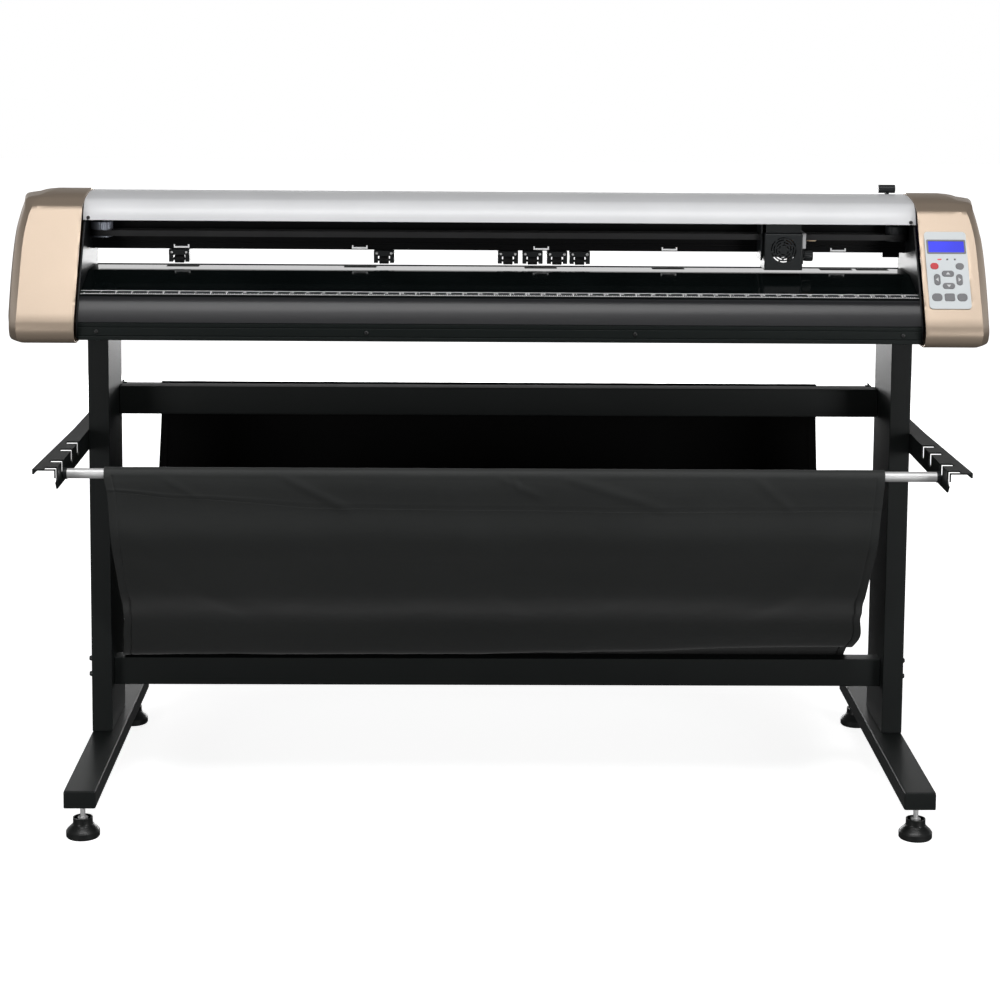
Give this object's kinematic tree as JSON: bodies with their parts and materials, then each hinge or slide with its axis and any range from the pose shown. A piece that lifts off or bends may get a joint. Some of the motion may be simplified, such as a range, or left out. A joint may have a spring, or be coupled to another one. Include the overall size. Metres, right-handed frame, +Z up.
{
  "type": "roll-fed vinyl cutter",
  "caption": "Wide-format vinyl cutter on a floor stand, with gold end covers, a white top cover, a sliding cutting carriage, pinch and grit rollers, a key panel and a fabric catch basket.",
  "frame": {"origin": "floor level, under the middle of the whole machine", "axes": "+Z up, +X to the right of the operator along the machine width, the operator stands at -Y"},
  "size_m": [1.6398, 0.76, 1.009],
  "materials": {
    "black_powder_coat": "satin powder coat",
    "black_body_paint": "satin paint",
    "gloss_black": "gloss",
    "white_cover_paint": "gloss",
    "gold_paint": "satin metallic paint on a moulded shell",
    "black_aluminium": "satin black anodised extrusion",
    "rod_steel": "bright",
    "shaft_steel": "ground",
    "basket_cloth": "woven",
    "panel_grey": "matt film",
    "display_blue": "gloss",
    "key_grey": "soft",
    "key_red": "soft",
    "black_plastic": "fine texture",
    "foot_plastic": "satin",
    "roller_rubber": "matt",
    "pulley_metal": "turned",
    "belt_rubber": "matt",
    "brass": "turned",
    "motor_black": "satin",
    "screw_black": "black oxide"
  },
  "bodies": {
    "stand_and_head": {"left_column": "black_powder_coat", "right_column": "black_powder_coat", "left_foot_beam": "black_powder_coat", "right_foot_beam": "black_powder_coat", "lower_rail": "black_powder_coat", "upper_rail": "black_powder_coat", "head_brackets": "black_powder_coat", "left_basket_arm": "black_powder_coat", "right_basket_arm": "black_powder_coat", "basket_rods": "rod_steel", "basket_fabric": "basket_cloth", "base_beam": "black_aluminium", "platen": "gloss_black", "side_plates": "black_body_paint", "guide_rail": "black_aluminium", "top_cover": "white_cover_paint", "left_end_cover": "gold_paint", "right_end_cover": "gold_paint", "control_panel": "panel_grey", "lcd_window": "display_blue", "power_inlet": "black_plastic", "stepper_motors": "motor_black", "carriage_belt": "belt_rubber", "fasteners": "screw_black"},
    "foot_front_left": {"foot_front_left": "foot_plastic"},
    "foot_front_right": {"foot_front_right": "foot_plastic"},
    "foot_rear_left": {"foot_rear_left": "foot_plastic"},
    "foot_rear_right": {"foot_rear_right": "foot_plastic"},
    "grit_rollers": {"grit_roller_shaft": "shaft_steel"},
    "lift_lever": {"lift_lever": "black_plastic"},
    "lift_shaft": {"lift_shaft": "shaft_steel"},
    "pinch_unit_1": {"pinch_unit_1": "black_plastic"},
    "pinch_wheel_1": {"pinch_wheel_1": "roller_rubber"},
    "pinch_unit_2": {"pinch_unit_2": "black_plastic"},
    "pinch_wheel_2": {"pinch_wheel_2": "roller_rubber"},
    "pinch_unit_3": {"pinch_unit_3": "black_plastic"},
    "pinch_wheel_3": {"pinch_wheel_3": "roller_rubber"},
    "pinch_unit_4": {"pinch_unit_4": "black_plastic"},
    "pinch_wheel_4": {"pinch_wheel_4": "roller_rubber"},
    "pinch_unit_5": {"pinch_unit_5": "black_plastic"},
    "pinch_wheel_5": {"pinch_wheel_5": "roller_rubber"},
    "pinch_unit_6": {"pinch_unit_6": "black_plastic"},
    "pinch_wheel_6": {"pinch_wheel_6": "roller_rubber"},
    "carriage": {"carriage_body": "black_plastic", "carriage_cover": "black_plastic"},
    "blade_holder": {"blade_holder": "brass"},
    "brass_knob": {"brass_knob": "brass"},
    "clamp_knob": {"clamp_knob": "black_plastic"},
    "idler_pulley": {"belt_idler_pulley": "pulley_metal"},
    "drive_pulley": {"belt_drive_pulley": "black_plastic"},
    "key_red": {"key_red": "key_red"},
    "key_grey": {"key_grey": "key_grey"},
    "key_up": {"key_up": "key_grey"},
    "key_left": {"key_left": "key_grey"},
    "key_right": {"key_right": "key_grey"},
    "key_down": {"key_down": "key_grey"},
    "key_lower_left": {"key_lower_left": "key_grey"},
    "key_lower_middle": {"key_lower_middle": "key_grey"},
    "key_lower_right": {"key_lower_right": "key_grey"},
    "power_switch": {"power_switch": "black_plastic"}
  },
  "joints": [
    {"name": "foot_front_left_thread", "type": "slide", "parent": "stand_and_head", "child": "foot_front_left", "axis": [0, 0, 1], "range_m": [-0.02, 0]},
    {"name": "foot_front_right_thread", "type": "slide", "parent": "stand_and_head", "child": "foot_front_right", "axis": [0, 0, 1], "range_m": [-0.02, 0]},
    {"name": "foot_rear_left_thread", "type": "slide", "parent": "stand_and_head", "child": "foot_rear_left", "axis": [0, 0, 1], "range_m": [-0.02, 0]},
    {"name": "foot_rear_right_thread", "type": "slide", "parent": "stand_and_head", "child": "foot_rear_right", "axis": [0, 0, 1], "range_m": [-0.02, 0]},
    {"name": "media_feed", "type": "hinge", "parent": "stand_and_head", "child": "grit_rollers", "pos_m": [0, 0.0045, 0.856], "axis": [1, 0, 0], "continuous": true},
    {"name": "roller_lift", "type": "hinge", "parent": "stand_and_head", "child": "lift_lever", "pos_m": [0.655, 0.059, 0.93], "axis": [1, 0, 0], "range_deg": [-60, 0]},
    {"name": "lift_shaft_turn", "type": "hinge", "parent": "stand_and_head", "child": "lift_shaft", "pos_m": [0, 0.029, 0.914], "axis": [1, 0, 0], "range_deg": [0, 10.3], "stiffness_Nm_per_rad": 0.8, "springref_deg": -25.78},
    {"name": "pinch_unit_1_position", "type": "slide", "parent": "lift_shaft", "child": "pinch_unit_1", "axis": [1, 0, 0], "range_m": [-0.1, 0.3]},
    {"name": "pinch_wheel_1_spin", "type": "hinge", "parent": "pinch_unit_1", "child": "pinch_wheel_1", "pos_m": [-0.534, 0, 0.8816], "axis": [1, 0, 0], "continuous": true},
    {"name": "pinch_unit_2_position", "type": "slide", "parent": "lift_shaft", "child": "pinch_unit_2", "axis": [1, 0, 0], "range_m": [-0.3, 0.17]},
    {"name": "pinch_wheel_2_spin", "type": "hinge", "parent": "pinch_unit_2", "child": "pinch_wheel_2", "pos_m": [-0.193, 0, 0.8816], "axis": [1, 0, 0], "continuous": true},
    {"name": "pinch_unit_3_position", "type": "slide", "parent": "lift_shaft", "child": "pinch_unit_3", "axis": [1, 0, 0], "range_m": [-0.17, 0.003]},
    {"name": "pinch_wheel_3_spin", "type": "hinge", "parent": "pinch_unit_3", "child": "pinch_wheel_3", "pos_m": [0.014, 0, 0.8816], "axis": [1, 0, 0], "continuous": true},
    {"name": "pinch_unit_4_position", "type": "slide", "parent": "lift_shaft", "child": "pinch_unit_4", "axis": [1, 0, 0], "range_m": [-0.003, 0.003]},
    {"name": "pinch_wheel_4_spin", "type": "hinge", "parent": "pinch_unit_4", "child": "pinch_wheel_4", "pos_m": [0.055, 0, 0.8816], "axis": [1, 0, 0], "continuous": true},
    {"name": "pinch_unit_5_position", "type": "slide", "parent": "lift_shaft", "child": "pinch_unit_5", "axis": [1, 0, 0], "range_m": [-0.003, 0.0015]},
    {"name": "pinch_wheel_5_spin", "type": "hinge", "parent": "pinch_unit_5", "child": "pinch_wheel_5", "pos_m": [0.096, 0, 0.8816], "axis": [1, 0, 0], "continuous": true},
    {"name": "pinch_unit_6_position", "type": "slide", "parent": "lift_shaft", "child": "pinch_unit_6", "axis": [1, 0, 0], "range_m": [-0.0015, 0.45]},
    {"name": "pinch_wheel_6_spin", "type": "hinge", "parent": "pinch_unit_6", "child": "pinch_wheel_6", "pos_m": [0.134, 0, 0.8816], "axis": [1, 0, 0], "continuous": true},
    {"name": "carriage_travel", "type": "slide", "parent": "stand_and_head", "child": "carriage", "axis": [1, 0, 0], "range_m": [-1.05, 0.1]},
    {"name": "blade_lift", "type": "slide", "parent": "carriage", "child": "blade_holder", "axis": [0, 0, 1], "range_m": [-0.005, 0.002]},
    {"name": "brass_knob_turn", "type": "hinge", "parent": "carriage", "child": "brass_knob", "pos_m": [0.5055, -0.049, 0.9265], "axis": [1, 0, 0], "range_deg": [-360, 360]},
    {"name": "clamp_knob_turn", "type": "hinge", "parent": "carriage", "child": "clamp_knob", "pos_m": [0.5055, -0.053, 0.8985], "axis": [1, 0, 0], "range_deg": [-360, 360]},
    {"name": "idler_pulley_spin", "type": "hinge", "parent": "stand_and_head", "child": "idler_pulley", "pos_m": [-0.657, -0.041, 0.935], "axis": [0, 0, 1], "range_deg": [-800, 4000]},
    {"name": "drive_pulley_spin", "type": "hinge", "parent": "stand_and_head", "child": "drive_pulley", "pos_m": [0.657, -0.041, 0.935], "axis": [0, 0, 1], "range_deg": [-800, 4000]},
    {"name": "key_red_press", "type": "slide", "parent": "stand_and_head", "child": "key_red", "axis": [0, 0.8617, -0.5075], "range_m": [0, 0.0008], "stiffness_N_per_m": 400},
    {"name": "key_grey_press", "type": "slide", "parent": "stand_and_head", "child": "key_grey", "axis": [0, 0.8617, -0.5075], "range_m": [0, 0.0008], "stiffness_N_per_m": 400},
    {"name": "key_up_press", "type": "slide", "parent": "stand_and_head", "child": "key_up", "axis": [0, 0.8617, -0.5075], "range_m": [0, 0.0008], "stiffness_N_per_m": 400},
    {"name": "key_left_press", "type": "slide", "parent": "stand_and_head", "child": "key_left", "axis": [0, 0.8617, -0.5075], "range_m": [0, 0.0008], "stiffness_N_per_m": 400},
    {"name": "key_right_press", "type": "slide", "parent": "stand_and_head", "child": "key_right", "axis": [0, 0.8617, -0.5075], "range_m": [0, 0.0008], "stiffness_N_per_m": 400},
    {"name": "key_down_press", "type": "slide", "parent": "stand_and_head", "child": "key_down", "axis": [0, 0.8617, -0.5075], "range_m": [0, 0.0008], "stiffness_N_per_m": 400},
    {"name": "key_lower_left_press", "type": "slide", "parent": "stand_and_head", "child": "key_lower_left", "axis": [0, 0.8617, -0.5075], "range_m": [0, 0.0008], "stiffness_N_per_m": 400},
    {"name": "key_lower_middle_press", "type": "slide", "parent": "stand_and_head", "child": "key_lower_middle", "axis": [0, 0.8617, -0.5075], "range_m": [0, 0.0008], "stiffness_N_per_m": 400},
    {"name": "key_lower_right_press", "type": "slide", "parent": "stand_and_head", "child": "key_lower_right", "axis": [0, 0.8617, -0.5075], "range_m": [0, 0.0008], "stiffness_N_per_m": 400},
    {"name": "power_switch_rock", "type": "hinge", "parent": "stand_and_head", "child": "power_switch", "pos_m": [0.742, 0.051, 0.8395], "axis": [1, 0, 0], "range_deg": [0, 12]}
  ],
  "couplings": [
    {"joint": "lift_shaft_turn", "follows": "roller_lift", "ratio": -0.16833},
    {"joint": "idler_pulley_spin", "follows": "carriage_travel", "rad_per_m": -59.88},
    {"joint": "drive_pulley_spin", "follows": "carriage_travel", "rad_per_m": -59.88}
  ]
}
